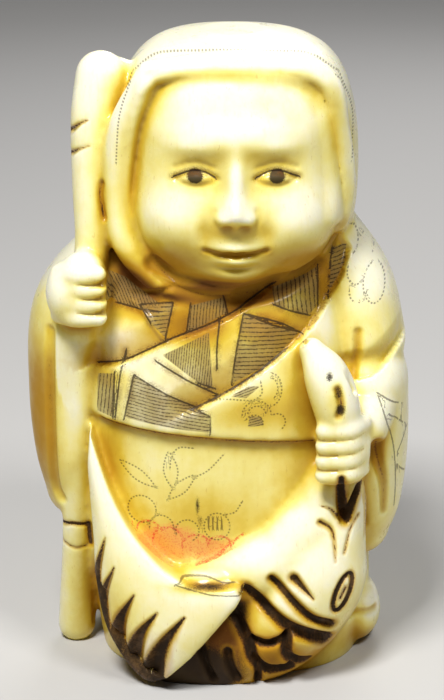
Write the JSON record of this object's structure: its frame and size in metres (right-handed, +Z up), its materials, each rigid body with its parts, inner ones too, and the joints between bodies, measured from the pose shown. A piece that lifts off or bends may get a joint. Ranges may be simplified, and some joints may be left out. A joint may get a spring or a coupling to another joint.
{
  "type": "bone netsuke",
  "caption": "Netsuke carved from one piece of bone: a hooded standing figure with an oar and a large fish at its foot.",
  "frame": {"origin": "centre of the bounding box on the flat underside of the carving", "axes": "+Z up through the figure, -Y the way the figure faces, +X towards the fish's head"},
  "size_m": [0.0302, 0.024, 0.05],
  "materials": {
    "bone": "polished bone, warm ivory in colour and darker in the cuts"
  },
  "bodies": {
    "root": {"netsuke_carving": "bone"}
  },
  "joints": []
}
